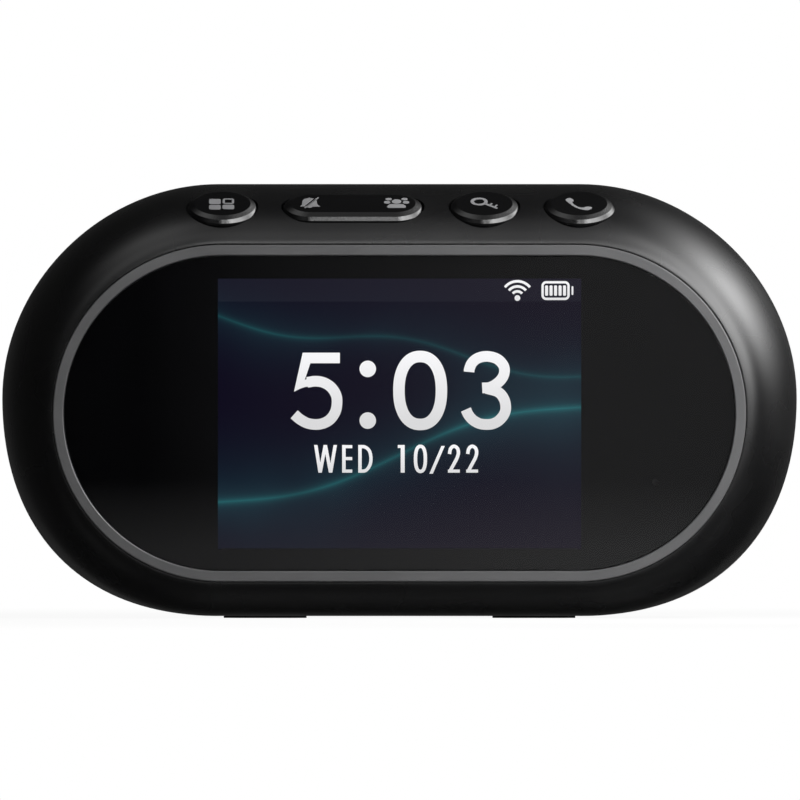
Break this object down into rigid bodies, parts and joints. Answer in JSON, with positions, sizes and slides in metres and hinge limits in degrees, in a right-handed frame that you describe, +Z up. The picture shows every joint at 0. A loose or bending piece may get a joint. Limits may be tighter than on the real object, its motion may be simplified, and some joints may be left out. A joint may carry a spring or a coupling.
{
  "type": "intercom indoor station",
  "caption": "Free-standing intercom indoor station: a black pill-shaped housing with a display behind an oval window, round press keys and a long rocker key along its sloping top edge.",
  "frame": {"origin": "on the table under the middle of the station, half way between its face and its back", "axes": "+X towards the viewer's right, +Y from the display to the back, +Z up"},
  "size_m": [0.154, 0.04, 0.084],
  "materials": {
    "housing_black": "fine satin texture",
    "ring_grey": "satin grey paint",
    "window": "clear acrylic printed black behind round the view",
    "key_black": "gloss",
    "display_cell": "dark display cell",
    "diffuser": "milky",
    "tray_steel": "sheet steel",
    "frame_plastic": "moulded",
    "film": "amber film",
    "board_green": "solder mask",
    "chip_black": "moulded",
    "can_steel": "tinned",
    "socket_white": "moulded",
    "screw_black": "black finish",
    "screw_steel": "zinc",
    "pin_steel": "ground",
    "rubber_black": "matte",
    "foam_black": "foam",
    "tape": "double-sided tape",
    "switch_dark": "moulded with steel cover",
    "plunger_ivory": "moulded",
    "speaker_steel": "black paint",
    "cone": "pulp cone",
    "magnet": "ferrite",
    "cell_silver": "foil pouch",
    "lead_dark": "insulation",
    "port_steel": "drawn shell",
    "tongue_black": "moulded",
    "copper_film": "copper on film"
  },
  "bodies": {
    "station": {"front_housing": "housing_black", "rear_cover": "housing_black", "cover_screws": "screw_black", "foot_pads": "rubber_black", "trim_ring": "ring_grey", "front_lens": "window", "lens_tape": "tape", "display_gasket": "foam_black", "display_glass": "display_cell", "light_guide": "diffuser", "display_tray": "tray_steel", "display_bracket": "frame_plastic", "display_flex": "film", "main_board": "board_green", "board_chips": "chip_black", "radio_module": "can_steel", "board_sockets": "socket_white", "board_screws": "screw_steel", "rocker_pin": "pin_steel", "tact_switches": "switch_dark", "key_board": "board_green", "key_flex": "film", "speaker_gasket": "foam_black", "speaker_frame": "speaker_steel", "speaker_cone": "cone", "speaker_magnet": "magnet", "speaker_lead": "lead_dark", "mic_boot": "rubber_black", "microphone": "can_steel", "mic_lead": "lead_dark", "battery_pack": "cell_silver", "battery_adhesive": "tape", "battery_lead": "lead_dark", "usb_socket": "port_steel", "usb_tongue": "tongue_black", "usb_board": "board_green", "usb_lead": "lead_dark", "antenna_strip": "copper_film", "antenna_lead": "lead_dark"},
    "menu_button": {"menu_key": "key_black", "menu_plunger": "plunger_ivory"},
    "unlock_button": {"unlock_key": "key_black", "unlock_plunger": "plunger_ivory"},
    "call_button": {"call_key": "key_black", "call_plunger": "plunger_ivory"},
    "rocker": {"rocker_key": "key_black"},
    "mute_contact": {"mute_plunger": "plunger_ivory"},
    "group_contact": {"group_plunger": "plunger_ivory"}
  },
  "joints": [
    {"name": "menu_press", "type": "slide", "parent": "station", "child": "menu_button", "axis": [0, 0.4226, -0.9063], "range_m": [0, 0.0004], "stiffness_N_per_m": 2000},
    {"name": "unlock_press", "type": "slide", "parent": "station", "child": "unlock_button", "axis": [0, 0.4226, -0.9063], "range_m": [0, 0.0004], "stiffness_N_per_m": 2000},
    {"name": "call_press", "type": "slide", "parent": "station", "child": "call_button", "axis": [0, 0.4226, -0.9063], "range_m": [0, 0.0004], "stiffness_N_per_m": 2000},
    {"name": "rocker_tilt", "type": "hinge", "parent": "station", "child": "rocker", "pos_m": [-0.009, -0.01108, 0.07585], "axis": [0, 0.9063, 0.4226], "range_deg": [-2.5, 2.5], "stiffness_Nm_per_rad": 0.16},
    {"name": "mute_contact_travel", "type": "slide", "parent": "station", "child": "mute_contact", "axis": [0, 0.4226, -0.9063], "range_m": [-0.0004, 0.0004]},
    {"name": "group_contact_travel", "type": "slide", "parent": "station", "child": "group_contact", "axis": [0, 0.4226, -0.9063], "range_m": [-0.0004, 0.0004]}
  ],
  "couplings": [
    {"joint": "mute_contact_travel", "follows": "rocker_tilt", "m_per_rad": -0.009},
    {"joint": "group_contact_travel", "follows": "rocker_tilt", "m_per_rad": 0.009}
  ]
}
